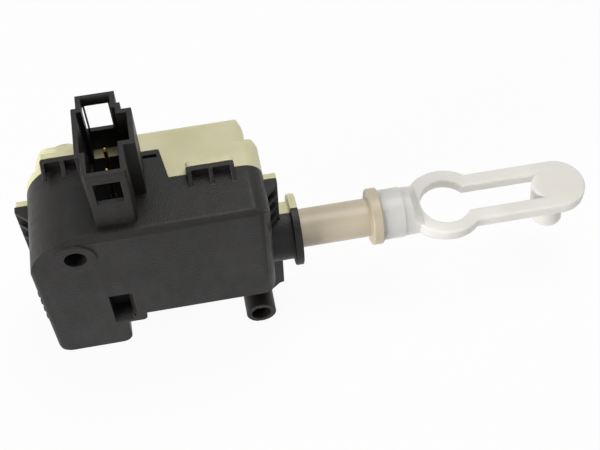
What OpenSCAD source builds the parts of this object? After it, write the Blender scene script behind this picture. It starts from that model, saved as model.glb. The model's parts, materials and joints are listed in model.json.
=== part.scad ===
// Trunk lock actuator: a two-part moulded housing with a connector socket, a motor, a gear pair,
// a steep-thread spindle, a push rod and a swivelling slotted link.
// The origin is on the rod axis, in the middle of the nozzle's neck. +X is the way the rod
// extends, +Z is the way the connector opens, and -Y is the front face with the upper screw hole.

/* [Housing] */
// Length of the housing along the push rod
body_len = 55.5; // [54:0.5:66]
// Height of the roof above the rod axis
roof_z = 28.3; // [28:0.1:33]
// Depth of the motor bay's underside below the rod axis
belly_z = 5.6; // [5.2:0.1:8]
// Depth of the rod channel's underside below the rod axis
channel_z = 9.2; // [8.5:0.1:14]
// Depth of the gear leg's underside below the rod axis
leg_z = 17.2; // [16:0.1:24]
// Width of the gear leg
leg_w = 18.3; // [17.5:0.1:20]
// Depth of the small step beside the gear leg
foot_z = 8.4; // [7:0.1:9]
// Width of the small step beside the gear leg
foot_w = 4.8; // [3:0.1:8]
// Width of the pocket in the front face beside the gear leg
pocket_w = 4.5; // [3:0.1:4.6]
// Height of that pocket
pocket_h = 10.1; // [8:0.1:10.5]
// Depth of that pocket
pocket_d = 4.7; // [2:0.1:5]
// Distance of the front face from the rod axis
front_y = 13.7; // [13.5:0.1:18]
// Distance of the flat back from the rod axis
back_y = 16.7; // [16:0.1:24]
// Wall thickness of both shells
wall = 1.6; // [1.2:0.1:2]
// Radius of the large rounding over the gear end
head_r = 12; // [9:0.5:12.5]
// Radius of the rounding over the rod end
tail_r = 4.5; // [3:0.5:6]
// Radius of the front face's upper edge
brow_r = 1.7; // [1:0.1:2.2]
// Radius of the front face's edge at the rod end
cheek_r = 3.1; // [2:0.1:4]

/* [Seam] */
// Distance of the seam behind the rod axis at the gear end
deep_seam = 8.7; // [7:0.1:11]
// Length of the shallow stretch of the seam, from the rod-end wall
shallow_len = 21.5; // [20:0.5:24]
// Distance along X that the seam's slanting step takes
step_run = 1.4; // [0.5:0.1:3]
// Thickness of the flanges along the seam
seam_t = 1.6; // [1:0.1:2]
// Height of the seam lips above the roof
lip_h = 2.7; // [1.5:0.1:4]
// Reach of the rod-end flange beyond its wall
tab_reach = 3.1; // [2:0.1:4]
// Reach of the gear-end flange beyond its wall
lug_reach = 3.6; // [2:0.1:5]
// Thickness of the gussets that prop the flanges
gusset_t = 1; // [0.8:0.1:1.4]
// Depth of the gussets along the wall
gusset_d = 4; // [2.5:0.1:5]
// Depth of the rear shell's outer tier behind the seam at the rod end
shoulder_y = 8.6; // [7:0.1:9]
// Depth of the rear shell's outer tier behind the seam at the gear end
rim_d = 2.2; // [2:0.1:4]
// Rounding of the outer tier's back edges
shoulder_r = 2; // [1.5:0.1:2.8]
// Rounding of the rear shell's back edges
back_r = 4.8; // [3:0.1:5]
// Inset of the rear shell's back tier from its outer tier
tier_inset = 2.6; // [2:0.1:4.5]

/* [Screws] */
// Radius of both screw bores
screw_r = 2.5; // [2:0.05:2.8]
// Radius of the upper screw post inside the housing
post_r = 4.3; // [3.8:0.1:4.5]
// Distance of the upper screw from the gear-end wall
post_in = 10.9; // [10:0.1:13]
// Distance of the upper screw below the roof
post_drop = 6.5; // [6:0.1:7]
// Radius of the raised pad around the upper screw
pad_r = 4.7; // [4:0.1:5.5]
// Height of the raised pad around the upper screw
pad_h = 0.4; // [0.2:0.1:1]
// Outer radius of the lower screw boss
boss_r = 3.85; // [3.6:0.05:5]
// Distance of the lower screw from the rod-end wall
boss_in = 4.2; // [4:0.1:6]
// Depth of the lower screw below the rod axis
boss_z = 20.8; // [18:0.1:26]
// Distance of the lower boss's front end from the rod axis
boss_y = 10; // [6:0.1:13]

/* [Nozzle] */
// Length of the neck between the flange and the collar
neck_len = 2.8; // [2:0.1:5]
// Radius of the neck
neck_r = 7.25; // [7:0.05:8.5]
// Radius of the collar
collar_r = 9; // [8.5:0.1:10]
// Length of the collar
collar_len = 1.9; // [1.5:0.1:3]
// Outer radius of the guide bush and the rod seal
bush_r = 5.9; // [5.7:0.05:6.1]
// Length of the rod seal
seal_len = 1.3; // [1:0.1:1.8]

/* [Push rod] */
// Radius of the push rod
rod_r = 4.85; // [4.5:0.05:5]
// Travel of the push rod
travel = 17.5; // [14:0.5:18]
// Radius of the rod's outer flange
flange_r = 7.15; // [6.8:0.05:9]
// Length of the rod's outer flange
flange_len = 2.8; // [2:0.1:4]
// Length of the rod's nose, which carries the link
nose_len = 7.2; // [6:0.1:8]
// Running clearance of the rod, the link and the shafts, on the radius
run_gap = 0.06; // [0.02:0.01:0.1]

/* [Link] */
// Outer radius of the link's sleeve
sleeve_r = 6.35; // [6.2:0.05:7]
// Thickness of the link's plate
link_t = 3.2; // [2.4:0.1:4.5]
// Distance of the eye's centre from the end of the rod's flange
eye_x = 17; // [16:0.1:20]
// Radius of the eye
eye_r = 6.45; // [5:0.05:7]
// Width of the ring around the eye
ring_w = 3.45; // [2.5:0.05:4.5]
// Half of the slot's width
slot_r = 3.6; // [2.5:0.05:4]
// Width of the bars beside the slot
bar_w = 3.7; // [2.5:0.05:4.5]
// Distance from the eye's centre to the centre of the round tip
tip_x = 29; // [24:0.5:40]
// Radius of the peg under the tip
peg_r = 4.1; // [3:0.1:5]
// Distance of the peg's centre before the centre of the round tip
peg_back = 2.3; // [0:0.1:3]
// Length of the peg below the plate's middle
peg_len = 6.6; // [3:0.1:9]

/* [Connector] */
// Height of the socket above the roof
socket_h = 17.7; // [12:0.1:22]
// Distance of the socket from the gear-end wall
socket_in = 15.7; // [15.5:0.1:16.5]
// Width of the socket's back part
socket_w = 13.1; // [12:0.1:14]
// Width of the socket's front part
mouth_w = 9.4; // [8.4:0.1:10]
// Distance of the socket's front wall from the rod axis
socket_y = 11; // [10:0.1:11.5]
// Wall thickness of the socket
socket_wall = 1.2; // [1:0.1:1.5]
// Depth of the latch pocket behind the seam
latch_d = 3.6; // [3:0.1:5]
// Width of the latch pocket
latch_w = 8.7; // [8:0.1:9]
// Side of the square terminal pins
pin_t = 0.8; // [0.6:0.05:1]
// Height of the terminal pins above the roof
pin_h = 9.7; // [6:0.1:12]
// Spacing of the terminal pins
pin_pitch = 5.9; // [4:0.1:8]

/* [Drive] */
// Radius of the motor's round sides
motor_r = 10.2; // [9.6:0.05:10.4]
// Height of the motor across its flats
motor_h = 15.4; // [14:0.1:15.6]
// Length of the motor can
motor_len = 25; // [22:0.5:27]
// Radius of the motor shaft
shaft_r = 1; // [0.75:0.05:1.2]
// Tooth module of the gear pair
gear_m = 0.5; // [0.4:0.01:0.5]
// Number of teeth on the spindle gear
gear_teeth = 45; // [44:1:46]
// Number of teeth on the pinion
pinion_teeth = 10; // [10:1:11]
// Face width of the spindle gear
gear_w = 4; // [3:0.1:5]
// Lead of the spindle's thread, in travel for each turn
lead = 24; // [18:1:36]
// Middle radius of the spindle's thread
thread_r = 2.35; // [2.1:0.05:2.5]
// Height of the thread above and below its middle radius
thread_h = 0.5; // [0.3:0.05:0.6]
// Clearance of the thread in the nut, on the radius
thread_gap = 0.12; // [0.08:0.01:0.2]
// Radius of the spindle's journals
journal_r = 2; // [1.5:0.05:2.4]
// Radius of the drive nut
nut_r = 5.7; // [5.6:0.05:5.8]
// Length of the drive nut
nut_len = 8; // [7:0.1:10]
// Thickness of the rubber stop buffers
buffer_t = 2.4; // [1.5:0.1:3]

/* [Hidden] */
$fn = 64;
// Small gap that parts lying beside each other keep
gap = 0.3;
// Overshoot of cuts
eps = 0.5;

// Places along X
wall_x = -(neck_len / 2 + tab_reach);
left_x = wall_x - body_len;
leg_x = left_x + leg_w;
collar_x = neck_len / 2 + collar_len;
flange_x = collar_x + 0.4 + travel;
nose_x = flange_x + flange_len;
nut_x = wall_x - wall - buffer_t - gap;
stop_x = nut_x - nut_len - travel - gap;
plate_t = 3;
end_len = 4;
end_r = 4.4;
plate_x = stop_x - buffer_t - plate_t;
pocket_wall = 0.8;
pocket_x = leg_x - 2.9;
pocket_z = -6;
shaft_out = 6.4;
gear_x = pocket_x - pocket_wall - gap - gear_w;
washer_x = left_x + wall + end_len + gap;
can_x = gear_x + gear_w + shaft_out;
can_end = can_x + motor_len;
step_x = wall_x - shallow_len;

// Places of the screws, the motor and the socket
post_x = left_x + post_in;
post_z = roof_z - post_drop;
boss_x = wall_x - boss_in;
gear_r = gear_m * gear_teeth / 2;
pinion_r = gear_m * pinion_teeth / 2;
motor_z = gear_r + pinion_r;
sock_x = left_x + socket_in;
sock_top = roof_z + socket_h;
front_x = sock_x + 1.1;
pin_x = front_x + mouth_w / 2 - 0.1;
carrier_y = pin_pitch / 2 + 3;
carrier_z = motor_z + motor_h / 2 + 2;

// Thicknesses inside the motor
can_t = 0.9;
magnet_t = 2;

// Colours of the mouldings
black_nylon = "#3b3a3b";
cream_nylon = "#d8d5b0";
rod_beige = "#cfc4b0";
link_white = "#e8e6e2";
steel = "#b9bcc0";
brass = "#c9a55a";
rubber = "#2a2a2c";

// Lays a profile drawn in X and Z along Y
module along_y(y0, y1) {
    translate([0, y1, 0]) rotate([90, 0, 0]) linear_extrude(y1 - y0) children();
}

// Lays a profile drawn in Y and Z along X
module along_x(x0, x1) {
    translate([x0, 0, 0]) rotate([90, 0, 90]) linear_extrude(x1 - x0) children();
}

// Lays a profile drawn in X and Y along Z
module along_z(z0, z1) {
    translate([0, 0, z0]) linear_extrude(z1 - z0) children();
}

// Round bar along X on the rod axis
module bar_x(x0, x1, r) {
    translate([x0, 0, 0]) rotate([0, 90, 0]) cylinder(h = x1 - x0, r = r);
}

// Tube along X on the rod axis
module tube_x(x0, x1, r_out, r_in) {
    difference() {
        bar_x(x0, x1, r_out);
        bar_x(x0 - eps, x1 + eps, r_in);
    }
}

// Round bar along Y
module bar_y(x, z, y0, y1, r) {
    translate([x, y1, z]) rotate([90, 0, 0]) cylinder(h = y1 - y0, r = r);
}

// What a rounded corner leaves out, at a corner whose inside lies towards sx and sz
module corner_waste(x, z, sx, sz, r) {
    translate([x, z]) mirror([sx < 0 ? 1 : 0, 0]) mirror([0, sz < 0 ? 1 : 0])
        difference() {
            translate([-eps, -eps]) square(r + eps);
            translate([r, r]) circle(r);
        }
}

// Rectangle between two corners, with a radius for each corner:
// low left, low right, high right, high left
module panel(x0, z0, x1, z1, r) {
    difference() {
        translate([x0, z0]) square([x1 - x0, z1 - z0]);
        if (r[0] > 0) corner_waste(x0, z0, 1, 1, r[0]);
        if (r[1] > 0) corner_waste(x1, z0, -1, 1, r[1]);
        if (r[2] > 0) corner_waste(x1, z1, -1, -1, r[2]);
        if (r[3] > 0) corner_waste(x0, z1, 1, -1, r[3]);
    }
}

// Outline of the housing seen from the front, drawn in by t
module body_outline(t, low) {
    panel(left_x + t, -low + t, wall_x - t, roof_z - t, [0, 1.8, tail_r - t, head_r - t]);
    panel(left_x + t, -leg_z + t, leg_x - t, belly_z, [3.4 - t / 2, 2.8 - t / 2, 0, 0]);
}

// Plan of the front shell's side of the seam
module front_side() {
    far = 40;
    along_z(-far, far + roof_z)
        polygon([[left_x - far, -far], [far, -far], [far, 0], [step_x, 0],
            [step_x - step_run, deep_seam], [left_x - far, deep_seam]]);
}

// Plan of the rear shell's side of the seam, out to the back
module rear_side() {
    far = 40;
    along_z(-far, far + roof_z)
        polygon([[far, 0], [far, back_y + far], [left_x - far, back_y + far], [left_x - far, deep_seam],
            [step_x - step_run, deep_seam], [step_x, 0]]);
}

// Block with the front face's rounded edges, drawn in by t
module brow(t) {
    intersection() {
        along_x(left_x - eps, wall_x + eps)
            panel(-front_y + t, -leg_z - eps, deep_seam + eps, roof_z - t, [0, 0, 0, brow_r - t / 2]);
        along_z(-leg_z - eps, roof_z + eps)
            panel(left_x + t, -front_y + t, wall_x - t, deep_seam + eps,
                [1.1 - t / 2, cheek_r - t / 2, 0, 0]);
    }
}

// Front shell's hollow form: outer with t = 0, inner with t = wall
module front_form(t) {
    channel_y = 8;
    intersection() {
        union() {
            along_y(-front_y + t, deep_seam + (t > 0 ? eps : 0)) body_outline(t, belly_z);
            along_y(-channel_y + t, deep_seam + (t > 0 ? eps : 0))
                panel(leg_x - wall, -channel_z + t, wall_x - t, 0, [0, 1.8 - t / 2, 0, 0]);
        }
        brow(t);
    }
}

// Lip that stands up along the seam, with its gussets
module seam_lip(x0, x1, y, props) {
    along_y(y - seam_t * 0.8, y) panel(x0, roof_z - wall, x1, roof_z + lip_h, [0, 0, 0.4, 0.4]);
    for (x = props)
        along_x(x, x + gusset_t)
            polygon([[y - 0.5, roof_z - 0.5], [y - 0.5, roof_z + lip_h],
                [y - seam_t, roof_z + lip_h], [y - gusset_d, roof_z], [y - gusset_d, roof_z - 0.5]]);
}

// Flange beside a wall, from z0 up to z1, with gussets under its top every pitch
module side_flange(x, reach, y, z0, z1, pitch) {
    s = sign(reach);
    along_y(y - seam_t, y)
        polygon([[x - s * wall / 2, z0], [x + reach, z0], [x + reach, z1], [x - s * wall / 2, z1]]);
    for (z = [z1 - gusset_t : -pitch : z0])
        along_z(z, z + gusset_t)
            polygon([[x - s * wall / 2, y], [x + reach, y], [x + reach, y - seam_t],
                [x, y - gusset_d - 1], [x - s * wall / 2, y - gusset_d - 1]]);
}

// Outline of the ear that carries the lower screw and closes the flange below the neck
module ear_outline() {
    side = 0.9 * boss_r;
    low = boss_z + 0.3 * boss_r;
    top = -channel_z + wall;
    polygon([[boss_x - 8, top], [boss_x - 8, -channel_z], [boss_x - side, -low],
        [boss_x + side, -low], [wall_x, top]]);
    polygon([[wall_x - wall, -neck_r], [-neck_len / 2, -neck_r], [-neck_len / 2, -boss_z + 2.2],
        [-neck_len / 2 - 1.1, -boss_z + 1.9], [wall_x, -low + 0.7], [boss_x + side, -low],
        [wall_x - wall, -channel_z]]);
}

// Neck and collar of the nozzle, all round
module nozzle() {
    bar_x(wall_x - wall / 2, collar_x - collar_len / 2, neck_r);
    bar_x(collar_x - collar_len, collar_x, collar_r);
}

// Bores of the nozzle for the bush, the seal and the rod
module nozzle_bores() {
    bar_x(wall_x - wall - eps, collar_x - 0.9, bush_r);
    bar_x(wall_x - wall, collar_x + eps, rod_r + 0.3);
}

// Socket seen from above, drawn in by t
module socket_plan(t) {
    right = sock_x + socket_w;
    mouth = front_x + mouth_w;
    mid = front_x + latch_w;
    difference() {
        union() {
            translate([sock_x + t, -5.2 + t]) square([socket_w - 2 * t, 11.9 - 2 * t]);
            translate([sock_x + t, -5.2 + t]) square([mid + 1 - sock_x - 2 * t, 5.2 + deep_seam - 2 * t]);
            translate([front_x + t, -socket_y + t])
                square([mouth_w - 2 * t, socket_y + deep_seam - 2 * t]);
            translate([front_x + t, 0]) square([latch_w - 2 * t, deep_seam + latch_d - t]);
        }
        if (t == 0)
            translate([mouth, -5.2 - eps]) square([right - mouth + eps, 1.7 + eps]);
        if (t > 0)
            translate([mouth - t, -5.2 - eps]) square([right - mouth + t + eps, 1.7 + t + eps]);
    }
}

// Connector socket: stands on the front shell's roof around the terminal pins
module connector_socket() {
    window_w = 5.3;
    window_x = front_x + 1.6;
    window_z = roof_z + 6.8;
    mouth_mid = front_x + mouth_w / 2;
    color(black_nylon) difference() {
        union() {
            along_z(roof_z, sock_top) intersection() {
                socket_plan(0);
                translate([sock_x, -socket_y]) square([socket_w, socket_y + deep_seam]);
            }
            along_z(roof_z + gap, sock_top) intersection() {
                socket_plan(0);
                translate([sock_x, deep_seam - eps]) square([socket_w, latch_d + 1]);
            }
        }
        along_z(roof_z - eps, sock_top + eps) socket_plan(socket_wall);
        // Latch window and the slit beside it
        translate([window_x, deep_seam, window_z]) cube([window_w, latch_d + eps, 8.4]);
        translate([window_x - 0.9, deep_seam + 1, window_z]) cube([0.55, latch_d, 8.2]);
        // Lead-in along the latch wall's upper edge
        translate([front_x + socket_wall, deep_seam + latch_d - socket_wall, sock_top]) rotate([-30, 0, 0])
            translate([0, -2, -1.6]) cube([latch_w - 2 * socket_wall, 2.4, 3]);
        // Open window in the front wall
        translate([mouth_mid - 2.9, -socket_y - eps, roof_z + 8]) cube([5.8, 2 * socket_wall, 6.6]);
    }
}

// Slopes that lead into the pocket from its right side and from below
module pocket_leads() {
    side = pocket_x + pocket_w;
    lead = 1.1;
    depth = 1.7;
    along_z(pocket_z, pocket_z + pocket_h)
        polygon([[side - eps, -front_y - eps], [side + lead, -front_y - eps], [side + lead, -front_y],
            [side, -front_y + depth], [side - eps, -front_y + depth]]);
    along_x(pocket_x, side)
        polygon([[-front_y - eps, pocket_z + eps], [-front_y - eps, pocket_z - lead],
            [-front_y, pocket_z - lead], [-front_y + depth, pocket_z], [-front_y + depth, pocket_z + eps]]);
}

// Scoop in the cheek, with a flat shelf over it
module cheek_scoop() {
    shelf_z = 22.6;
    intersection() {
        translate([wall_x + 1.4, -front_y + 1.6, shelf_z - 3]) sphere(2.7);
        translate([wall_x - cheek_r, -front_y - cheek_r, shelf_z - 12]) cube([12, 12, 12]);
    }
}

// Hole in the roof for a terminal pin
module pin_hole(y) {
    translate([pin_x, y, roof_z]) cube([pin_t, pin_t, 3 * wall], center = true);
}

// Place of the terminals across the housing: the front one first
function pin_y(i) = 0.05 + (i - 0.5) * pin_pitch;

// Motor can seen from its end, grown by g
module can_section(g) {
    intersection() {
        translate([0, motor_z]) circle(motor_r + g);
        translate([-motor_r - g, motor_z - motor_h / 2 - g]) square([2 * (motor_r + g), motor_h + 2 * g]);
    }
}

// Ribs that hold the motor, from y0 to y1
module motor_ribs(y0, y1) {
    for (x = [can_x + 2, can_end - 4.2])
        difference() {
            translate([x, y0, motor_z - motor_h / 2])
                cube([1.4, y1 - y0, roof_z - motor_z + motor_h / 2 - wall]);
            along_x(x - eps, x + 2) can_section(0);
        }
}

// Rails that keep the nut from turning, from y0 to y1
module nut_rails(y0, y1) {
    for (s = [-1, 1])
        translate([stop_x, y0, s * 2.35 - 0.6]) cube([wall_x - wall - stop_x, y1 - y0, 1.2]);
}

// Seats of the end bush and the bearing plate, from y0 to y1; the first starts near the wall
module bearing_seats(y0, y1, start) {
    seat_x = left_x + wall;
    difference() {
        union() {
            translate([seat_x + start, y0, -5.2]) cube([end_len - start, y1 - y0, 10.4]);
            translate([plate_x - 1.2, y0, -5.4]) cube([1.2, y1 - y0, 10.8]);
        }
        bar_x(seat_x, plate_x + eps, end_r);
    }
}

// Front shell: motor bay, gear leg, half of the nozzle and the seam flanges
module front_shell() {
    color(black_nylon) difference() {
        union() {
            difference() {
                intersection() {
                    front_form(0);
                    front_side();
                }
                intersection() {
                    front_form(wall);
                    translate([0, eps, 0]) front_side();
                }
            }
            along_y(-front_y, -front_y + pocket_d + pocket_wall)
                panel(leg_x - wall, -foot_z, leg_x + foot_w, -belly_z + wall, [0, 1.2, 0, 0]);
            // Walls of the pocket beside the gear leg
            translate([pocket_x - pocket_wall, -front_y + wall / 2, pocket_z - pocket_wall])
                cube([pocket_w + 2 * pocket_wall, pocket_d + pocket_wall - wall / 2,
                    pocket_h + 2 * pocket_wall]);
            seam_lip(left_x + 5.8, sock_x, deep_seam, [left_x + 5.8, left_x + 10.3]);
            seam_lip(wall_x - 17.3, wall_x - 6.4, 0, [wall_x - 17.1, wall_x - 12.3, wall_x - 7.4]);
            side_flange(wall_x, tab_reach, 0, neck_r - 1, 21.9, 4.1);
            side_flange(left_x, -lug_reach, deep_seam, -leg_z + 5, 15.2, 4.6);
            intersection() {
                along_y(-3, 0) ear_outline();
                translate([left_x, -3, -60]) cube([200, 3, 60 - channel_z + wall]);
            }
            bar_y(boss_x, -boss_z, -boss_y, 0, boss_r);
            // Ribs on the gear-end wall
            for (i = [0 : 3])
                translate([left_x - 0.25, -front_y + 1, 7.5 - 3.2 * i]) cube([1, 5, 1.5]);
            intersection() {
                nozzle();
                translate([-200, -200, -100]) cube([400, 200, 200]);
            }
            // Screw post with its raised pad
            bar_y(post_x, post_z, -front_y, deep_seam, post_r);
            bar_y(post_x, post_z, -front_y - pad_h, -front_y + eps, pad_r);
            motor_ribs(-front_y + wall / 2, -carrier_y - gap);
            nut_rails(-front_y + wall / 2, -6.3);
            bearing_seats(-front_y + wall / 2, 0, -0.2);
        }
        bar_y(post_x, post_z, -front_y - pad_h - eps, deep_seam + eps, screw_r);
        bar_y(boss_x, -boss_z, -boss_y - eps, eps, screw_r);
        nozzle_bores();
        for (i = [0, 1]) pin_hole(pin_y(i));
        translate([pocket_x, -front_y - eps, pocket_z]) cube([pocket_w, pocket_d + eps, pocket_h]);
        pocket_leads();
        // Groove in the roof at the seam, beside the socket
        translate([sock_x + socket_w, deep_seam - 2.2, roof_z - 1])
            cube([step_x - sock_x - socket_w - 2, 0.9, 2]);
        cheek_scoop();
    }
}

// Block from y0 to y1 with rounded corners seen from the front, and back edges rounded by r
module cushion(x0, z0, x1, z1, corners, y0, y1, r) {
    intersection() {
        along_y(y0, y1) panel(x0, z0, x1, z1, corners);
        along_z(z0 - eps, z1 + eps) panel(x0, y0, x1, y1, [0, 0, r, r]);
        along_x(x0 - eps, x1 + eps) panel(y0, z0, y1, z1, [0, r, r, 0]);
    }
}

// Back tiers of the rear shell, over the motor bay and the gear leg, drawn in by t
module back_tiers(t) {
    inset = tier_inset + t;
    low = 3 - t;
    cushion(left_x + inset, -belly_z + t, wall_x - inset, roof_z - t,
        [low, low, tail_r - t, head_r - inset], shoulder_y - 4, back_y - t, back_r - t / 2);
    cushion(left_x + inset, -leg_z + 1.5 + t, leg_x - 0.5 - t, belly_z, [low, low, 0, 0],
        deep_seam + 0.2, back_y - t, back_r - t / 2);
}

// Rear shell's outer form: an outer tier along the seam and the back tiers
module rear_outer() {
    rim_y = deep_seam + rim_d;
    bend_x = step_x - step_run;
    cushion(left_x, -belly_z, bend_x, roof_z, [0, 0, 3, head_r], deep_seam, rim_y, shoulder_r);
    cushion(left_x, -leg_z, leg_x, belly_z, [3.4, 2.8, 0, 0], deep_seam, rim_y, shoulder_r);
    cushion(leg_x - wall, -channel_z, bend_x, -1, [0, 0, 0, 0], deep_seam, rim_y, 1);
    cushion(step_x - 4, -channel_z, wall_x, roof_z, [0, 1.8, tail_r, 0], -eps, shoulder_y, shoulder_r);
    back_tiers(0);
}

// Rear shell's hollow
module rear_hollow() {
    rim_y = deep_seam + rim_d - wall;
    bend_x = step_x - step_run - wall;
    along_y(deep_seam - 1, rim_y)
        panel(left_x + wall, -belly_z + wall, bend_x, roof_z - wall, [0, 0, 1.4, head_r - wall]);
    along_y(deep_seam - 1, rim_y) panel(left_x + wall, -leg_z + wall, leg_x - wall, belly_z, [1, 1, 0, 0]);
    along_y(deep_seam - 1, rim_y) panel(leg_x, -channel_z + wall, bend_x, 1, [0, 0, 0, 0]);
    along_y(-1, shoulder_y - wall)
        panel(step_x - 6, -channel_z + wall, wall_x - wall, roof_z - wall, [0, 1, tail_r - wall, 0]);
    back_tiers(wall);
}

// Rear shell: cover of the motor bay and gear leg, with its half of the nozzle
module rear_shell() {
    color(cream_nylon) difference() {
        union() {
            difference() {
                intersection() {
                    rear_outer();
                    rear_side();
                }
                rear_hollow();
            }
            along_y(deep_seam, deep_seam + seam_t) {
                panel(left_x + 5.8, roof_z - wall, sock_x - 0.4, roof_z + lip_h, [0, 0, 0.4, 0.4]);
                translate([left_x - lug_reach + 0.3, -leg_z + 5])
                    square([lug_reach + 0.5, 15.2 + leg_z - 5]);
            }
            along_y(0, seam_t) {
                panel(wall_x - 17.3, roof_z - wall, wall_x - 6.4, roof_z + lip_h, [0, 0, 1, 1]);
                translate([wall_x - 0.8, neck_r - 1]) square([tab_reach + 0.8, 21.9 - neck_r + 1]);
            }
            intersection() {
                along_y(0, 3) ear_outline();
                translate([left_x, 0, -60]) cube([200, 3, 60 - channel_z + wall]);
            }
            bar_y(boss_x, -boss_z, 0, back_y, boss_r);
            // Web from the lower boss up to the rod channel and the back tier
            translate([boss_x - 0.8, 0, -boss_z]) cube([1.6, back_y - 4, boss_z - channel_z + 0.5]);
            translate([boss_x - 0.8, shoulder_y - 1, -boss_z])
                cube([1.6, back_y - shoulder_y - 3, boss_z - belly_z + 0.5]);
            intersection() {
                nozzle();
                translate([-200, 0, -100]) cube([400, 200, 200]);
            }
            bar_y(post_x, post_z, deep_seam, back_y, post_r);
            motor_ribs(carrier_y + gap, back_y - wall + 0.1);
            nut_rails(6.3, back_y - wall / 2);
            bearing_seats(0, back_y - wall - 2, tier_inset - wall + 0.5);
        }
        bar_y(post_x, post_z, deep_seam - eps, back_y + eps, screw_r);
        bar_y(boss_x, -boss_z, -eps, back_y + eps, screw_r);
        nozzle_bores();
    }
}

// Block under the roof that holds the terminals
module terminal_carrier() {
    color(black_nylon) difference() {
        translate([pin_x - 3, -carrier_y, carrier_z]) cube([6, 2 * carrier_y, roof_z - wall - carrier_z]);
        for (i = [0, 1])
            translate([pin_x - pin_t / 2, pin_y(i) - pin_t / 2, 0]) cube([pin_t, pin_t, 60]);
    }
}

// Bent strip from a pin in the socket to the motor's end cap
module terminal(i) {
    rail_z = carrier_z - pin_t;
    y0 = pin_y(i) - pin_t / 2;
    color(brass) {
        translate([pin_x - pin_t / 2, y0, rail_z]) cube([pin_t, pin_t, roof_z + pin_h - 0.6 - rail_z]);
        // Chamfered tip
        translate([pin_x, pin_y(i), roof_z + pin_h - 0.6]) rotate(45)
            cylinder(h = 0.6, r1 = pin_t / sqrt(2), r2 = pin_t / 3, $fn = 4);
        translate([pin_x - pin_t / 2, y0, rail_z]) cube([can_end + 1.2 - pin_x + pin_t / 2, pin_t, pin_t]);
        translate([can_end + 0.6, y0, motor_z + 2]) cube([0.6, pin_t, rail_z - motor_z - 2 + pin_t]);
    }
}

module front_terminal() terminal(0);

module rear_terminal() terminal(1);

// Bush that guides the rod in the nozzle
module guide_bush() {
    color("#e9e7df") tube_x(wall_x - wall, collar_x - 0.9 - seal_len, bush_r, rod_r + run_gap);
}

// Lip seal behind the collar
module rod_seal() {
    color(rubber) difference() {
        tube_x(collar_x - 0.9 - seal_len, collar_x - 0.9, bush_r, rod_r + run_gap / 2);
        translate([collar_x - 0.9 - seal_len / 2, 0, 0]) tube_x(-0.2, 0.2, rod_r + 0.6, rod_r - 1);
    }
}

// Rubber ring that stops the nut when the rod is out
module front_buffer() {
    color(rubber) tube_x(wall_x - wall - buffer_t, wall_x - wall, nut_r, rod_r + 0.2);
}

// Rubber ring that stops the nut when the rod is in
module rear_buffer() {
    color(rubber) tube_x(stop_x - buffer_t, stop_x, nut_r - 0.2, thread_r + thread_h + 0.3);
}

// Plate across the rod channel that carries the spindle
module bearing_plate() {
    top = motor_z - motor_h / 2 - gap;
    color("#cfcdc4") difference() {
        translate([plate_x, -nut_r - eps, -nut_r]) cube([plate_t, 2 * (nut_r + eps), nut_r + top]);
        bar_x(plate_x - eps, plate_x + plate_t + eps, journal_r + 1.2);
    }
}

module plate_bush() {
    color("#b08d57") tube_x(plate_x, plate_x + plate_t, journal_r + 1.2, journal_r + run_gap);
}

module end_bush() {
    color("#b08d57") tube_x(left_x + wall, left_x + wall + end_len, end_r, journal_r + run_gap);
}

// Outline of a straight-cut gear with involute flanks
function inv(a) = tan(a) * 180 / PI - a;
function tooth_half(r, rp, teeth) = let (rb = rp * cos(25))
    (PI * gear_m / 2 - 0.06) / (2 * rp) * 180 / PI + inv(25) - inv(acos(min(1, rb / r)));
module gear_outline(teeth) {
    rp = gear_m * teeth / 2;
    rb = rp * cos(25);
    tip = rp + 0.9 * gear_m;
    root = rp - 1.2 * gear_m;
    low = max(rb, root);
    radii = [root, for (i = [0 : 4]) low + (tip - low) * i / 4];
    polygon([for (k = [0 : teeth - 1]) each concat(
        [for (r = radii)
            let (a = 360 * k / teeth - tooth_half(max(r, low), rp, teeth)) r * [cos(a), sin(a)]],
        [for (i = [len(radii) - 1 : -1 : 0]) let (r = radii[i],
            a = 360 * k / teeth + tooth_half(max(r, low), rp, teeth)) r * [cos(a), sin(a)]])]);
}

// Gear on the spindle
module spindle_gear() {
    color("#f0ead6") difference() {
        union() {
            along_x(gear_x, gear_x + gear_w) gear_outline(gear_teeth);
            bar_x(washer_x + 0.7, gear_x + gear_w + 0.8, journal_r + 2.2);
        }
        bar_x(washer_x, gear_x + gear_w + 1.3, journal_r);
        // Web thinned on both sides
        for (x = [gear_x - eps, gear_x + gear_w - 1.1])
            tube_x(x, x + 1.1 + eps, gear_r - 2, journal_r + 2.2);
    }
}

// Pinion on the motor shaft, turned so that its teeth fit the gear's spaces
module pinion() {
    gear_phase = 90 - floor(90 * gear_teeth / 360) * 360 / gear_teeth;
    color("#d9b56a") difference() {
        along_x(gear_x - 0.5, gear_x + gear_w + 0.5)
            translate([0, motor_z]) rotate(-90 + 180 / pinion_teeth + gear_phase * gear_teeth / pinion_teeth)
                gear_outline(pinion_teeth);
        translate([0, 0, motor_z]) bar_x(gear_x - 1, gear_x + gear_w + 1, shaft_r);
    }
}

// Cross-section of the spindle's thread, grown by g
module thread_section(g) {
    polygon([for (a = [0 : 10 : 350]) (thread_r + g + thread_h * cos(3 * a)) * [cos(a), sin(a)]]);
}

// Stretch of thread along X between two places
module thread(x0, x1, g) {
    turn = 360 * (x1 - x0) / lead;
    translate([x0, 0, 0]) rotate([90, 0, 90]) rotate(360 * x0 / lead)
        linear_extrude(x1 - x0, twist = -turn, slices = ceil(turn / 12)) thread_section(g);
}

// Spindle with journals at the gear end and a steep thread at the rod end
module spindle() {
    color("#e6e2d2") {
        bar_x(left_x + wall + 0.2, plate_x + plate_t, journal_r);
        thread(plate_x + plate_t, nut_x + 4, 0);
    }
}

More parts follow.
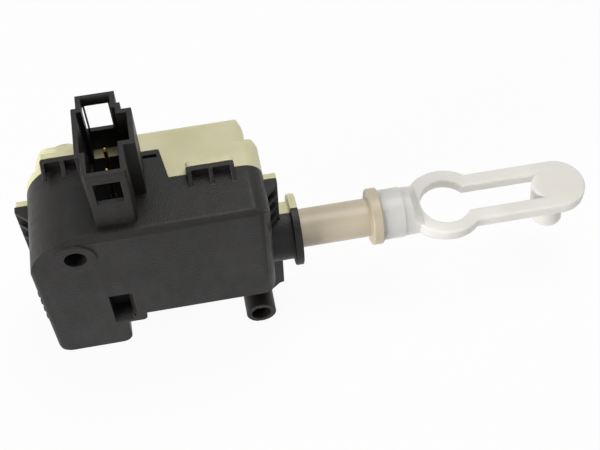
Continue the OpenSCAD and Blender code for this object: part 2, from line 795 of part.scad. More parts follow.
// Washer between the spindle gear and the end bush
module thrust_washer() {
    color(steel) tube_x(washer_x, washer_x + 0.6, journal_r + 2, journal_r);
}

// Nut that the spindle drives, with wings that slide in the rails
module drive_nut() {
    color("#ded6c4") difference() {
        union() {
            bar_x(nut_x - nut_len, nut_x, nut_r);
            for (s = [-1, 1])
                translate([nut_x - nut_len, s > 0 ? 4 : -9.6, -1.5]) cube([nut_len, 5.6, 3]);
        }
        thread(nut_x - nut_len - eps, nut_x - 3, thread_gap);
        bar_x(nut_x - 3.6, nut_x + eps, rod_r);
    }
}

// Hollow push rod with its flange and the nose that carries the link
module push_rod() {
    groove_x = nose_x + nose_len - 3.2;
    color(rod_beige) difference() {
        union() {
            bar_x(nut_x - 3.6, flange_x + eps, rod_r);
            rotate([0, 90, 0]) translate([0, 0, flange_x]) rotate_extrude()
                panel(0, 0, flange_r, flange_len, [0, 0.5, 0.5, 0]);
            bar_x(nose_x - eps, nose_x + nose_len, rod_r);
        }
        bar_x(nut_x - 3.6 - eps, nut_x + 4 + travel + 1, thread_r + thread_h + 0.4);
        tube_x(groove_x, groove_x + 1.4, rod_r + 1, rod_r - 0.5);
    }
}

// Slotted link that turns on the rod's nose
module link_eye() {
    cx = nose_x + eye_x;
    half = slot_r + bar_w;
    tip = cx + tip_x;
    sleeve_end = nose_x + nose_len + 0.4;
    bead_x = nose_x + nose_len - 3.2 + run_gap;
    color(link_white) difference() {
        union() {
            bar_x(nose_x + run_gap, nose_x + 5.6, sleeve_r);
            bar_x(nose_x + 5.6, sleeve_end, sleeve_r - 0.25);
            // Taper from the round sleeve into the flat plate
            hull() {
                bar_x(sleeve_end - 0.1, sleeve_end, sleeve_r - 0.25, $fn = 32);
                translate([cx - eye_r - 0.4, -sleeve_r + 0.25, -link_t / 2])
                    cube([0.2, 2 * sleeve_r - 0.5, link_t]);
            }
            along_z(-link_t / 2, link_t / 2) {
                translate([cx, 0]) circle(eye_r + ring_w);
                translate([cx, -half]) square([tip_x, 2 * half]);
                translate([tip, 0]) circle(half);
            }
            translate([tip - peg_back, 0, -peg_len]) cylinder(h = peg_len, r = peg_r);
        }
        translate([cx, 0, -sleeve_r - 1]) cylinder(h = 2 * sleeve_r + 2, r = eye_r);
        difference() {
            translate([cx, -slot_r, -link_t]) cube([tip_x - peg_back, 2 * slot_r, 2 * link_t]);
            translate([tip - peg_back, 0, -link_t - eps]) cylinder(h = 2 * link_t + 2 * eps, r = peg_r);
        }
        difference() {
            bar_x(nose_x - eps, nose_x + nose_len + run_gap, rod_r + run_gap);
            tube_x(bead_x, bead_x + 1.2, rod_r + 1, rod_r - 0.5 + run_gap);
        }
    }
}

// Motor can: a drawn steel cup with two flats and a hub for the shaft
module motor_can() {
    color(steel) difference() {
        union() {
            along_x(can_x, can_end) can_section(0);
            translate([0, 0, motor_z]) bar_x(can_x - 1.6, can_x + eps, 3.1);
        }
        along_x(can_x + 1, can_end + eps) can_section(-can_t);
        translate([0, 0, motor_z]) bar_x(can_x - 2, can_x + 2, shaft_r + run_gap);
    }
}

// Two curved magnets on the can's round sides
module motor_magnets() {
    magnet_h = motor_h - 2 * can_t - 2.6;
    color("#4a4a4d") along_x(can_x + 3, can_end - 5) for (s = [0, 1])
        mirror([s, 0]) translate([0, motor_z]) difference() {
            intersection() {
                circle(motor_r - can_t);
                translate([0, -magnet_h / 2]) square([motor_r, magnet_h]);
            }
            circle(motor_r - can_t - magnet_t);
        }
}

// Plastic cap that closes the can and holds the brushes
module motor_end_cap() {
    color("#8c8f8a") difference() {
        union() {
            along_x(can_end - 1.6, can_end) can_section(-can_t);
            along_x(can_end, can_end + 0.6) can_section(0);
            translate([0, 0, motor_z]) bar_x(can_end, can_end + 1.8, 2.6);
        }
        translate([0, 0, motor_z]) bar_x(can_end - 2, can_end + 1.2, shaft_r + run_gap);
    }
}

// Two brushes that press on the commutator
module motor_brushes() {
    color("#5a4a42") for (s = [-1, 1])
        translate([can_end - 4, s > 0 ? 2.4 : -4.6, motor_z - 1]) cube([2.4, 2.2, 2]);
}

// Rubber pad between the motor and the front shell
module motor_pad() {
    pad_x = can_x + motor_len / 3;
    pad_len = 8;
    color(rubber) difference() {
        translate([pad_x, -front_y + wall, motor_z - 5]) cube([pad_len, 3, 10]);
        along_x(pad_x - eps, pad_x + pad_len + eps) can_section(0);
    }
}

module motor_shaft() {
    color(steel) translate([0, 0, motor_z]) bar_x(gear_x - 1, can_end + 1, shaft_r);
}

// Three-pole armature with its windings
module armature() {
    core_r = min(motor_h / 2, motor_r - magnet_t) - can_t - gap;
    far = 2 * core_r + eps;
    color("#8a5a3a") difference() {
        along_x(can_x + 3.4, can_end - 5.4) translate([0, motor_z]) {
            circle(2.6);
            for (a = [0 : 120 : 240]) rotate(a) {
                translate([0, -1.1]) square([core_r - 1, 2.2]);
                difference() {
                    circle(core_r);
                    circle(core_r - 1.2);
                    for (b = [52, -52]) rotate(b) translate([0, b > 0 ? 0 : -far]) square(far);
                    translate([-far, -far]) square([far, 2 * far]);
                }
            }
        }
        translate([0, 0, motor_z]) bar_x(can_x, can_end, shaft_r);
    }
}

module commutator() {
    color(brass) translate([0, 0, motor_z]) tube_x(can_end - 5, can_end - 1.9, 2.3, shaft_r);
}

front_shell();
connector_socket();
rear_shell();
terminal_carrier();
front_terminal();
rear_terminal();
guide_bush();
rod_seal();
front_buffer();
rear_buffer();
bearing_plate();
end_bush();
plate_bush();
motor_can();
motor_magnets();
motor_end_cap();
motor_brushes();
motor_pad();
motor_shaft();
armature();
commutator();
pinion();
spindle();
spindle_gear();
thrust_washer();
drive_nut();
push_rod();
link_eye();
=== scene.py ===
import json
import math

import bmesh
import bpy
from mathutils import Matrix, Vector
from mathutils.bvhtree import BVHTree
from mathutils.kdtree import KDTree


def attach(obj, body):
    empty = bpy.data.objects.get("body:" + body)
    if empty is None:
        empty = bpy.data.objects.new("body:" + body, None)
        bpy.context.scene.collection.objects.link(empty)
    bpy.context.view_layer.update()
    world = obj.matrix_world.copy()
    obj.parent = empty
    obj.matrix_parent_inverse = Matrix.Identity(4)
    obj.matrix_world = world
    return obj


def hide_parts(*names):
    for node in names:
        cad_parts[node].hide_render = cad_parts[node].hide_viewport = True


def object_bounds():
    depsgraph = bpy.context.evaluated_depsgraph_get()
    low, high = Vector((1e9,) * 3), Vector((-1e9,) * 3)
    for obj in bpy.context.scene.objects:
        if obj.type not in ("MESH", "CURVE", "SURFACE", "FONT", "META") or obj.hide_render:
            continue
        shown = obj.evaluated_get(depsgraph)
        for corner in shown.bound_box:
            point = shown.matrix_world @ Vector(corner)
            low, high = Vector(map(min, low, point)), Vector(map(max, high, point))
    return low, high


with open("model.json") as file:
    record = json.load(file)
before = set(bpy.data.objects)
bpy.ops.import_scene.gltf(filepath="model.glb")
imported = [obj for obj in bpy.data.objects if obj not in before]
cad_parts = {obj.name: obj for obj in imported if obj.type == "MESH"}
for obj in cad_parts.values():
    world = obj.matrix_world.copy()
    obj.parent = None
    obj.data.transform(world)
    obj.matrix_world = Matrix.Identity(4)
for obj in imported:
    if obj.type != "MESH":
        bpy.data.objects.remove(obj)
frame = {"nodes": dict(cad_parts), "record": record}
cadLow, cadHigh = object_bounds()
nodes = frame["nodes"]
mm = 0.001
samePlace = 0.02 * mm  # nearer than this, two places count as the same
print("frame loaded:", len(nodes), "nodes")


# sRGB hex to the linear colour that the shader wants
def hexColour(text):
    parts = [int(text[i:i + 2], 16) / 255 for i in (1, 3, 5)]
    linear = [c / 12.92 if c <= 0.04045 else ((c + 0.055) / 1.055) ** 2.4 for c in parts]
    return (*linear, 1.0)


# adds one node, sets what it is given and joins the links that lead into it
def addNode(tree, kind, values=None, links=None, **settings):
    node = tree.nodes.new(kind)
    for name, value in settings.items():
        setattr(node, name, value)
    for name, value in (values or {}).items():
        node.inputs[name].default_value = value
    for name, source in (links or {}).items():
        tree.links.new(source, node.inputs[name])
    return node


def newMaterial(name):
    material = bpy.data.materials.new(name)
    material.use_nodes = True
    tree = material.node_tree
    tree.nodes.clear()
    return material, tree


# a noise with spots of this size in millimetres, on the piece's own coordinates
def noiseAt(tree, sizeMm, detail, rough, stretch=(1, 1, 1)):
    place = addNode(tree, "ShaderNodeTexCoord")
    turn = addNode(tree, "ShaderNodeMapping", {"Scale": stretch}, {"Vector": place.outputs["Object"]})
    return addNode(tree, "ShaderNodeTexNoise",
                   {"Scale": 1 / (sizeMm * mm), "Detail": detail, "Roughness": rough},
                   {"Vector": turn.outputs["Vector"]})


# runs from the look's dark colour to its light one, between these two values of the noise
def colourOf(tree, noise, look, darkAt, lightAt):
    ramp = addNode(tree, "ShaderNodeValToRGB", links={"Fac": noise.outputs["Fac"]})
    dark, light = ramp.color_ramp.elements
    dark.position = darkAt
    dark.color = hexColour(look["dark"])
    light.position = lightAt
    light.color = hexColour(look["light"])
    return ramp


noiseLow, noiseHigh = 0.3, 0.7  # a noise hardly ever leaves these values


def roughnessOf(tree, noise, look):
    return addNode(tree, "ShaderNodeMapRange",
                   {"From Min": noiseLow, "From Max": noiseHigh,
                    "To Min": look["roughLow"], "To Max": look["roughHigh"]},
                   {"Value": noise.outputs["Fac"]})


def reliefOf(tree, noise, depthMm, strength):
    return addNode(tree, "ShaderNodeBump", {"Strength": strength, "Distance": depthMm * mm},
                   {"Height": noise.outputs["Fac"]})


# leads colour, roughness and relief into the shader, and the shader out of the material
def finishMaterial(tree, colour, rough, relief, values):
    shader = addNode(tree, "ShaderNodeBsdfPrincipled", values,
                     {"Base Color": colour.outputs["Color"], "Roughness": rough.outputs["Result"],
                      "Normal": relief.outputs["Normal"]})
    addNode(tree, "ShaderNodeOutputMaterial", links={"Surface": shader.outputs["BSDF"]})


# black nylon with glass fibres, moulded against a spark-eroded tool: a satin grain, and a
# faint cloudiness where the fibres came to the surface; the real grain is 0.1 to 0.2 mm
# and is drawn coarser, or it would be too fine to show
blackNylonLook = {
    "dark": "#1b1918", "light": "#22201f", "cloudMm": 9.0, "grainMm": 0.6, "grainDepthMm": 0.16,
    "fibreMm": 2.1, "fibreStretch": (1, 1, 0.35), "roughLow": 0.4, "roughHigh": 0.5, "shine": 0.22,
}

# the same nylon, rougher and with hardly any gloss, and with a darker colour that is painted shade, so the
# recess inside the socket stays dark
recessPaintedShadeLook = {
    **blackNylonLook,
    "dark": "#0d0c0c", "light": "#121111", "roughLow": 0.74, "roughHigh": 0.84, "shine": 0.04,
}


def blackNylon(name, look):
    material, tree = newMaterial(name)
    cloud = noiseAt(tree, look["cloudMm"], detail=3.0, rough=0.55)
    grain = noiseAt(tree, look["grainMm"], detail=3.0, rough=0.6)
    fibres = noiseAt(tree, look["fibreMm"], detail=1.0, rough=0.5, stretch=look["fibreStretch"])
    colour = colourOf(tree, cloud, look, darkAt=0.36, lightAt=0.66)
    rough = roughnessOf(tree, fibres, look)
    relief = reliefOf(tree, grain, look["grainDepthMm"], strength=0.55)
    finishMaterial(tree, colour, rough, relief, {"IOR": 1.52, "Specular IOR Level": look["shine"]})
    return material


# The looks of the unfilled plastics. Light goes a little way in, which softens their shading;
# their grain is 0.1 to 0.2 mm too, and is drawn coarser, or it would be too fine to show.
# natural nylon, moulded: the milky yellow of the rear shell
naturalNylonLook = {
    "dark": "#c9c49a", "light": "#d6d2ae", "cloudMm": 14.0, "grainMm": 0.6, "grainDepthMm": 0.008,
    "roughLow": 0.36, "roughHigh": 0.46, "glow": 0.22, "glowMm": 1.6, "glowSpread": (1.0, 0.85, 0.6),
}

# beige acetal, moulded: the slightly waxy rod and the nut in it
beigeAcetalLook = {
    "dark": "#b8ab94", "light": "#c5b9a3", "cloudMm": 11.0, "grainMm": 0.5, "grainDepthMm": 0.006,
    "roughLow": 0.34, "roughHigh": 0.44, "glow": 0.12, "glowMm": 1.2, "glowSpread": (1.0, 0.85, 0.6),
}

# white acetal, moulded: gear, guide bush and bearing plate inside the case
whiteAcetalLook = {
    "dark": "#d9d5c9", "light": "#e4e1d8", "cloudMm": 8.0, "grainMm": 0.5, "grainDepthMm": 0.006,
    "roughLow": 0.34, "roughHigh": 0.44, "glow": 0.12, "glowMm": 1.0, "glowSpread": (1.0, 0.85, 0.6),
}

# white nylon, moulded thin: the milky link, with soft shading and lit edges
whiteNylonLook = {
    "dark": "#d5d2cb", "light": "#dedbd5", "cloudMm": 12.0, "grainMm": 0.7, "grainDepthMm": 0.008,
    "roughLow": 0.38, "roughHigh": 0.48, "glow": 0.9, "glowMm": 6.0, "glowSpread": (1.0, 0.97, 0.93),
}

# grey polyester, moulded: the motor's end cap, matt and closed to light
greyPolyesterLook = {
    "dark": "#6c6e6b", "light": "#7a7c79", "cloudMm": 6.0, "grainMm": 0.4, "grainDepthMm": 0.008,
    "roughLow": 0.45, "roughHigh": 0.55, "glow": 0.0, "glowMm": 1.0, "glowSpread": (1.0, 0.85, 0.6),
}


def milkyPlastic(name, look, ior):
    material, tree = newMaterial(name)
    cloud = noiseAt(tree, look["cloudMm"], detail=2.0, rough=0.5)
    grain = noiseAt(tree, look["grainMm"], detail=2.0, rough=0.5)
    colour = colourOf(tree, cloud, look, darkAt=0.3, lightAt=0.7)
    rough = roughnessOf(tree, grain, look)
    relief = reliefOf(tree, grain, look["grainDepthMm"], strength=0.4)
    finishMaterial(tree, colour, rough, relief,
                   {"IOR": ior, "Subsurface Weight": look["glow"], "Subsurface Radius": look["glowSpread"],
                    "Subsurface Scale": look["glowMm"] * mm})
    return material


# The looks of the metals, each with the lines or grains that its making left, drawn coarser
# than the real ones of under 0.1 mm, or they would be too fine to show.
# brass, stamped from rolled sheet or cut from bar: bright, with fine lines the way it was rolled
stampedBrassLook = {
    "dark": "#b98f45", "light": "#cfa75c", "streakMm": 0.5, "stretch": (1, 1, 0.12),
    "roughLow": 0.24, "roughHigh": 0.36,
}

# bronze, pressed from powder and sintered: an even, dull grain
sinteredBronzeLook = {
    "dark": "#8d6238", "light": "#a87947", "streakMm": 0.4, "stretch": (1, 1, 1),
    "roughLow": 0.42, "roughHigh": 0.58,
}

# steel, drawn or turned and zinc plated: grey with lines along the motor and the spindle
zincSteelLook = {
    "dark": "#a3a7aa", "light": "#bfc3c6", "streakMm": 0.6, "stretch": (0.12, 1, 1),
    "roughLow": 0.26, "roughHigh": 0.4,
}

# copper wire, drawn and enamelled: red-brown with lines the way the wire is wound
enamelledCopperLook = {
    "dark": "#8a3f1c", "light": "#b0592b", "streakMm": 0.45, "stretch": (0.1, 1, 1),
    "roughLow": 0.26, "roughHigh": 0.38,
}


def linedMetal(name, look):
    material, tree = newMaterial(name)
    lines = noiseAt(tree, look["streakMm"], detail=3.0, rough=0.6, stretch=look["stretch"])
    colour = colourOf(tree, lines, look, darkAt=0.32, lightAt=0.68)
    rough = roughnessOf(tree, lines, look)
    relief = reliefOf(tree, lines, depthMm=0.004, strength=0.3)
    finishMaterial(tree, colour, rough, relief, {"Metallic": 1.0})
    return material


# rubber, moulded: nearly black and soft in its shine
mouldedRubberLook = {
    "dark": "#19191b", "light": "#232325", "cloudMm": 3.0, "grainMm": 0.25, "grainDepthMm": 0.01,
    "roughLow": 0.68, "roughHigh": 0.82,
}

# ferrite and carbon, sintered and ground: dark grey with pits, drawn coarser than the real
# ones of 0.05 mm, which would be too fine to show
groundFerriteLook = {
    "dark": "#343437", "light": "#444448", "cloudMm": 2.0, "grainMm": 0.2, "grainDepthMm": 0.012,
    "roughLow": 0.5, "roughHigh": 0.66,
}


def dullSurface(name, look):
    material, tree = newMaterial(name)
    cloud = noiseAt(tree, look["cloudMm"], detail=2.0, rough=0.5)
    grain = noiseAt(tree, look["grainMm"], detail=3.0, rough=0.6)
    colour = colourOf(tree, cloud, look, darkAt=0.35, lightAt=0.65)
    rough = roughnessOf(tree, grain, look)
    relief = reliefOf(tree, grain, look["grainDepthMm"], strength=0.6)
    finishMaterial(tree, colour, rough, relief, {"IOR": 1.5})
    return material


materials = {
    "black_nylon": blackNylon("blackGlassFilledNylon", blackNylonLook),
    "natural_nylon": milkyPlastic("naturalNylonMoulded", naturalNylonLook, ior=1.53),
    "beige_acetal": milkyPlastic("beigeAcetalMoulded", beigeAcetalLook, ior=1.48),
    "white_acetal": milkyPlastic("whiteAcetalMoulded", whiteAcetalLook, ior=1.48),
    "white_nylon": milkyPlastic("whiteNylonMoulded", whiteNylonLook, ior=1.53),
    "grey_plastic": milkyPlastic("greyPolyesterMoulded", greyPolyesterLook, ior=1.5),
    "terminal_brass": linedMetal("brassStamped", stampedBrassLook),
    "bearing_bronze": linedMetal("bronzeSintered", sinteredBronzeLook),
    "drawn_steel": linedMetal("zincPlatedSteelDrawn", zincSteelLook),
    "windings": linedMetal("copperEnamelledWire", enamelledCopperLook),
    "seal_rubber": dullSurface("rubberMoulded", mouldedRubberLook),
    "ferrite": dullSurface("ferriteGround", groundFerriteLook),
}
# a darker copy of the black nylon: its colour is painted shade for the socket's floor
recessPaintedShadeNylon = blackNylon("blackNylonRoughPaintedShade", recessPaintedShadeLook)
print("materials made:", len(materials) + 1)

for part in frame["record"]["subparts"]:
    node = nodes[part["node"]]
    node.data.materials.clear()
    node.data.materials.append(materials[part["material_slot"]])
print("nodes given their finish")


def clearSelection():
    bpy.ops.object.select_all(action="DESELECT")


def makeActive(piece):
    clearSelection()
    piece.select_set(True)
    bpy.context.view_layer.objects.active = piece


# how the meshes are cleaned, and what is done about corners that a rounding throws off
meshWork = {"mergeGap": 0.002 * mm, "sliverGap": 0.004 * mm, "thrownShare": 0.5, "tries": 6}


# a merged copy of a node's mesh, its flat faces joined, ready to be detailed
def mergedCopy(look):
    mesh = nodes[look["node"]].data.copy()
    mesh.name = look["piece"]
    piece = bpy.data.objects.new(look["piece"], mesh)
    bpy.context.scene.collection.objects.link(piece)
    makeActive(piece)
    if mesh.has_custom_normals:
        bpy.ops.mesh.customdata_custom_splitnormals_clear()
    bpy.ops.object.mode_set(mode="EDIT")
    bpy.ops.mesh.select_all(action="SELECT")
    bpy.ops.mesh.remove_doubles(threshold=meshWork["mergeGap"])
    bpy.ops.mesh.dissolve_limited(angle_limit=math.radians(look["flatAngle"]))
    bpy.ops.mesh.select_all(action="DESELECT")
    bpy.ops.object.mode_set(mode="OBJECT")
    return piece


# marks the edges that a rounding takes, by the weight that the bevel reads
def markSharpEdges(piece, edgeAngle, takes):
    sharp = bmesh.new()
    sharp.from_mesh(piece.data)
    layers = sharp.edges.layers.float
    weight = layers.get("bevel_weight_edge") or layers.new("bevel_weight_edge")
    for edge in sharp.edges:
        turned = len(edge.link_faces) == 2 and edge.calc_face_angle(0) > math.radians(edgeAngle)
        edge[weight] = 1.0 if turned and takes(edge) else 0.0
    surface = BVHTree.FromBMesh(sharp)
    sharp.to_mesh(piece.data)
    sharp.free()
    return surface


# where very short edges meet, a bevel can throw a corner off: the corners where it would do so
def thrownCorners(piece, surface, width):
    rounded = piece.evaluated_get(bpy.context.evaluated_depsgraph_get()).data
    thrown = set()
    for vertex in rounded.vertices:
        place, normal, face, distance = surface.find_nearest(vertex.co)
        if distance > width * meshWork["thrownShare"]:
            thrown.add(vertex.index)
    corners = KDTree(len(piece.data.vertices))
    for vertex in piece.data.vertices:
        corners.insert(vertex.co, vertex.index)
    corners.balance()
    found = set()
    for edge in rounded.edges:
        inner, outer = edge.vertices
        if (inner in thrown) != (outer in thrown):
            kept = rounded.vertices[outer if inner in thrown else inner].co
            place, nearest, distance = corners.find(kept)
            found.add(nearest)
    return found


# rounds the marked edges; those short ones that the rounding can't get past stay sharp
def roundEdges(piece, edgeAngle, width, steps, takes):
    makeActive(piece)
    surface = markSharpEdges(piece, edgeAngle, takes)
    bevel = piece.modifiers.new("edgeRound", "BEVEL")
    bevel.width = width
    bevel.segments = steps
    bevel.limit_method = "WEIGHT"
    bevel.use_clamp_overlap = False
    weight = piece.data.attributes["bevel_weight_edge"].data
    leftSharp = 0
    for attempt in range(meshWork["tries"]):
        thrown = thrownCorners(piece, surface, width)
        if not thrown:
            break
        leftSharp += len(thrown)
        for edge in piece.data.edges:
            if edge.vertices[0] in thrown or edge.vertices[1] in thrown:
                weight[edge.index].value = 0.0
        piece.data.update()
    bpy.ops.object.modifier_apply(modifier=bevel.name)
    return leftSharp


# takes out the slivers that rounding leaves where edges run together
def cleanSlivers(piece):
    makeActive(piece)
    bpy.ops.object.mode_set(mode="EDIT")
    bpy.ops.mesh.select_all(action="SELECT")
    bpy.ops.mesh.remove_doubles(threshold=meshWork["sliverGap"])
    bpy.ops.mesh.dissolve_degenerate(threshold=meshWork["sliverGap"])
    bpy.ops.mesh.select_all(action="DESELECT")
    bpy.ops.object.mode_set(mode="OBJECT")


# shades the piece, gives it its finish and sets it in its node's place
def dressPiece(piece, look):
    makeActive(piece)
    bpy.ops.object.shade_smooth_by_angle(angle=math.radians(look["smoothAngle"]))
    even = piece.modifiers.new("evenShading", "WEIGHTED_NORMAL")
    even.keep_sharp = True
    bpy.ops.object.modifier_apply(modifier=even.name)
    piece.data.materials.clear()
    piece.data.materials.append(materials[look["slot"]])
    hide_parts(look["node"])
    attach(piece, look["body"])


def middleOf(edge):
    return (edge.verts[0].co + edge.verts[1].co) / 2


def everyEdge(edge):
    return True


# the black half of the case; the recess is the L-shaped patch of roof inside the socket, which is given
# painted shade
frontShell = {
    "node": "front_shell", "piece": "frontShellMoulded", "body": "housing", "slot": "black_nylon",
    "flatAngle": 0.6, "edgeAngle": 34, "smoothAngle": 40, "edgeRound": 0.22 * mm,
    "bossX": -12.7 * mm, "bossZ": -20.8 * mm, "bossEndY": -10.0 * mm,
    "bossInner": 3.4 * mm, "bossOuter": 4.2 * mm, "bossRound": 0.6 * mm,
    "roofZ": 28.3 * mm, "recessLeft": -42.6 * mm, "recessStepX": -35.2 * mm, "recessRight": -31.8 * mm,
    "recessFront": -10.4 * mm, "recessStepY": -2.9 * mm, "recessBack": 11.2 * mm,
}


# the screw boss under the body has a well rounded end
def bossEnd(edge):
    place = middleOf(edge)
    away = math.hypot(place.x - frontShell["bossX"], place.z - frontShell["bossZ"])
    atEnd = abs(place.y - frontShell["bossEndY"]) < samePlace
    return atEnd and frontShell["bossInner"] < away < frontShell["bossOuter"]


frontShell["roundings"] = [
    {"width": frontShell["bossRound"], "steps": 4, "takes": bossEnd},
    {"width": frontShell["edgeRound"], "steps": 2, "takes": everyEdge},
]


def onRoof(face, place, look):
    isLevel = face.normal.z > 0.99
    return isLevel and abs(place.z - look["roofZ"]) < samePlace


# splits the flat roof under the socket's walls, so that the floor of the socket is faces of its own
def splitRoof(piece, look):
    roof = bmesh.new()
    roof.from_mesh(piece.data)
    acrossX = [look[name] for name in ("recessLeft", "recessStepX", "recessRight")]
    acrossY = [look[name] for name in ("recessFront", "recessStepY", "recessBack")]
    cuts = [(Vector((x, 0, 0)), Vector((1, 0, 0))) for x in acrossX]
    cuts += [(Vector((0, y, 0)), Vector((0, 1, 0))) for y in acrossY]
    for place, across in cuts:
        faces = [face for face in roof.faces if onRoof(face, face.calc_center_median(), look)]
        edges = {edge for face in faces for edge in face.edges}
        corners = {corner for face in faces for corner in face.verts}
        bmesh.ops.bisect_plane(roof, geom=[*corners, *edges, *faces], plane_co=place, plane_no=across)
    roof.to_mesh(piece.data)
    roof.free()


# gives the floor of the socket the rougher, less glossy nylon whose darker colour is painted shade
def roughenAndPaintShadeRecess(piece, look):
    piece.data.materials.append(recessPaintedShadeNylon)
    done = 0
    for face in piece.data.polygons:
        place = face.center
        right = look["recessRight"] if place.y > look["recessStepY"] else look["recessStepX"]
        insideX = look["recessLeft"] < place.x < right
        insideY = look["recessFront"] < place.y < look["recessBack"]
        if insideX and insideY and onRoof(face, place, look):
            face.material_index = 1
            done += 1
    print("faces on the socket's floor:", done)


# the cream half of the case
rearShell = {
    "node": "rear_shell", "piece": "rearShellMoulded", "body": "housing", "slot": "natural_nylon",
    "flatAngle": 0.6, "edgeAngle": 34, "smoothAngle": 40,
    "roundings": [{"width": 0.25 * mm, "steps": 2, "takes": everyEdge}],
}

# the beige rod that comes out of the nozzle
pushRod = {
    "node": "push_rod", "piece": "pushRodMoulded", "body": "rod", "slot": "beige_acetal",
    "flatAngle": 0.6, "edgeAngle": 34, "smoothAngle": 40,
    "roundings": [{"width": 0.3 * mm, "steps": 3, "takes": everyEdge}],
}

# the white link: a sleeve on the rod's nose, a taper, a slotted plate and a peg under its end
linkEye = {
    "node": "link_eye", "piece": "linkEyeMoulded", "body": "link", "slot": "white_nylon",
    "flatAngle": 0.6, "edgeAngle": 50, "smoothAngle": 45,
    "sleeveEnd": 31.8 * mm, "taperEnd": 36.0 * mm, "plateHalf": 1.6 * mm, "pegStart": 2.6 * mm,
    "pegLonger": 4.9 * mm, "pegNarrower": 1.02, "pegLean": 1.5 * mm,
}


# the plate's outlines and the peg's end, but not the taper
def plateEdge(edge):
    place = middleOf(edge)
    onPlate = all(abs(abs(end.co.z) - linkEye["plateHalf"]) < samePlace for end in edge.verts)
    return place.x > linkEye["taperEnd"] and (onPlate or place.z < -linkEye["pegStart"])


def sleeveEdge(edge):
    return middleOf(edge).x < linkEye["sleeveEnd"]


linkEye["roundings"] = [
    {"width": 0.45 * mm, "steps": 4, "takes": plateEdge},
    {"width": 0.1 * mm, "steps": 2, "takes": sleeveEdge},
]


# the peg under the link's end reaches down past the bars and leans outwards
def lengthenPeg(piece, look):
    plate = [vertex for vertex in piece.data.vertices if vertex.co.x > look["taperEnd"]]
    low = min(vertex.co.z for vertex in plate)
    end = [vertex for vertex in plate if vertex.co.z < low + samePlace]
    middle = sum((vertex.co for vertex in end), Vector()) / len(end)
    shift = Vector((look["pegLean"], 0, -look["pegLonger"]))
    for vertex in end:
        vertex.co = middle + (vertex.co - middle) * look["pegNarrower"] + shift


# the socket for the plug, which stands on the roof of the case
connectorSocket = {
    "node": "connector_socket", "piece": "connectorSocketMoulded", "body": "housing", "slot": "black_nylon",
    "flatAngle": 0.6, "edgeAngle": 34, "smoothAngle": 40, "sink": 0.5 * mm,
    "uprightLength": 3 * mm, "uprightReach": 1 * mm,
}
socketCorners = [vertex.co for vertex in nodes["connector_socket"].data.vertices]
socketFront = min(corner.y for corner in socketCorners)
frontWide = [corner.x for corner in socketCorners if corner.y < socketFront + samePlace]


# the two upright edges at the ends of the socket's front wall, not those of its window
def frontUpright(edge):
    upright = abs(edge.verts[0].co.z - edge.verts[1].co.z) > connectorSocket["uprightLength"]
    across = middleOf(edge).x
    atSide = min(across - min(frontWide), max(frontWide) - across) < connectorSocket["uprightReach"]
    return upright and atSide and all(end.co.y < socketFront + samePlace for end in edge.verts)


connectorSocket["roundings"] = [
    {"width": 0.9 * mm, "steps": 4, "takes": frontUpright},
    {"width": 0.2 * mm, "steps": 2, "takes": everyEdge},
]


# the socket grows out of the roof, so its foot goes a little way in and no rounded edge shows there
def sinkFoot(piece, depth):
    low = min(vertex.co.z for vertex in piece.data.vertices)
    for vertex in piece.data.vertices:
        if vertex.co.z < low + samePlace:
            vertex.co.z = low - depth


for look in (frontShell, connectorSocket, rearShell, pushRod, linkEye):
    piece = mergedCopy(look)
    if "sink" in look:
        sinkFoot(piece, look["sink"])
    if "pegLonger" in look:
        lengthenPeg(piece, look)
    leftSharp = sum(roundEdges(piece, look["edgeAngle"], **rounding) for rounding in look["roundings"])
    cleanSlivers(piece)
    if "recessLeft" in look:
        splitRoof(piece, look)
    dressPiece(piece, look)
    # the socket's floor gets the darker nylon, whose colour is painted shade
    if "recessLeft" in look:
        roughenAndPaintShadeRecess(piece, look)
    print("made", look["piece"], len(piece.data.polygons), "faces,", leftSharp, "corners left sharp")

# floor, lamps, world and camera
studio = {
    "floorSize": 6.0, "floorDrop": 0.05 * mm, "floorHex": "#e6e6e6", "floorWhite": 0.94, "skyLevel": 0.3,
}


# 1 for the rays of the camera and of gloss and glass, 0 for those that light the object
def viewRays(tree):
    rays = addNode(tree, "ShaderNodeLightPath")
    either = addNode(tree, "ShaderNodeMath", operation="MAXIMUM",
                     links={0: rays.outputs["Is Camera Ray"], 1: rays.outputs["Is Glossy Ray"]})
    return addNode(tree, "ShaderNodeMath", operation="MAXIMUM",
                   links={0: either.outputs[0], 1: rays.outputs["Is Transmission Ray"]})


# pale paper that takes the object's shadow and looks nearly white to the camera
def paperFloor(name, colour, white):
    material, tree = newMaterial(name)
    share = addNode(tree, "ShaderNodeMath", {1: white}, {0: viewRays(tree).outputs[0]},
                    operation="MULTIPLY")
    matt = addNode(tree, "ShaderNodeBsdfDiffuse", {"Color": hexColour(colour)})
    glow = addNode(tree, "ShaderNodeEmission", {"Color": (1, 1, 1, 1), "Strength": 1.0})
    mix = addNode(tree, "ShaderNodeMixShader",
                  links={0: share.outputs[0], 1: matt.outputs[0], 2: glow.outputs[0]})
    addNode(tree, "ShaderNodeOutputMaterial", links={"Surface": mix.outputs[0]})
    return material


clearSelection()
bpy.ops.mesh.primitive_plane_add(size=studio["floorSize"], location=(0, 0, cadLow.z - studio["floorDrop"]))
floor = bpy.context.active_object
floor.name = "floor"
floor.data.materials.append(paperFloor("paleStudioFloor", studio["floorHex"], studio["floorWhite"]))

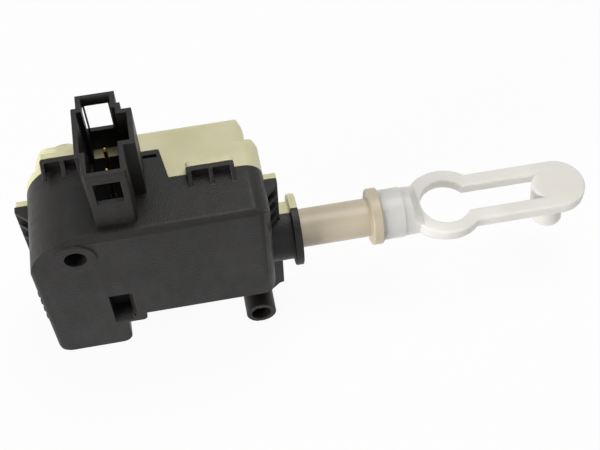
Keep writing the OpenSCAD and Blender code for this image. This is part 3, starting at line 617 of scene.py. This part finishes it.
# places in metres: above and behind, left and low, and a weak one from the front
lamps = [
    {"name": "keyLamp", "power": 2.9, "size": 0.42, "place": (0.12, 0.14, 0.68), "target": (-0.01, 0, 0)},
    {"name": "sideLamp", "power": 4.5, "size": 0.32, "place": (-0.56, -0.3, 0.1), "target": (0, 0, 0)},
    {"name": "frontLamp", "power": 0.2, "size": 0.3, "place": (0.1, -0.6, 0.2), "target": (0, 0, 0)},
]


def softLamp(name, power, size, place, target):
    clearSelection()
    bpy.ops.object.light_add(type="AREA", location=place)
    lamp = bpy.context.active_object
    lamp.name = name
    lamp.data.shape = "SQUARE"
    lamp.data.size = size
    lamp.data.energy = power
    lamp.rotation_euler = (Vector(target) - Vector(place)).to_track_quat("-Z", "Y").to_euler()


for settings in lamps:
    softLamp(**settings)

# the world lights the object softly and looks white to the camera
world = bpy.data.worlds.new("studioWorld")
bpy.context.scene.world = world
world.use_nodes = True
sky = world.node_tree
sky.nodes.clear()
plain = addNode(sky, "ShaderNodeBackground", {"Color": (1, 1, 1, 1), "Strength": studio["skyLevel"]})
white = addNode(sky, "ShaderNodeBackground", {"Color": (1, 1, 1, 1), "Strength": 1.0})
mix = addNode(sky, "ShaderNodeMixShader",
              links={0: viewRays(sky).outputs[0], 1: plain.outputs[0], 2: white.outputs[0]})
addNode(sky, "ShaderNodeOutputWorld", links={"Surface": mix.outputs[0]})

# fitted to the photograph: where it stands, how it is turned in degrees, and its lens in mm
cameraView = {
    "place": (-19.48 * mm, -157.44 * mm, 224.49 * mm), "azimuth": -8.4, "pitch": 35.5, "roll": -2.4,
    "lens": 66.0, "sensor": 36, "clipStart": 0.01,
}
turn = (Matrix.Rotation(math.radians(cameraView["azimuth"]), 4, "Z")
        @ Matrix.Rotation(math.radians(cameraView["pitch"]), 4, "X")
        @ Matrix.Rotation(math.radians(cameraView["roll"]), 4, "Z"))
clearSelection()
bpy.ops.object.camera_add(location=cameraView["place"])
camera = bpy.context.active_object
camera.name = "photoCamera"
camera.rotation_euler = turn.to_euler()
camera.data.lens = cameraView["lens"]
camera.data.sensor_width = cameraView["sensor"]
camera.data.clip_start = cameraView["clipStart"]
bpy.context.scene.camera = camera
bpy.context.scene.view_settings.view_transform = "Standard"
print("floor, lamps and camera set")
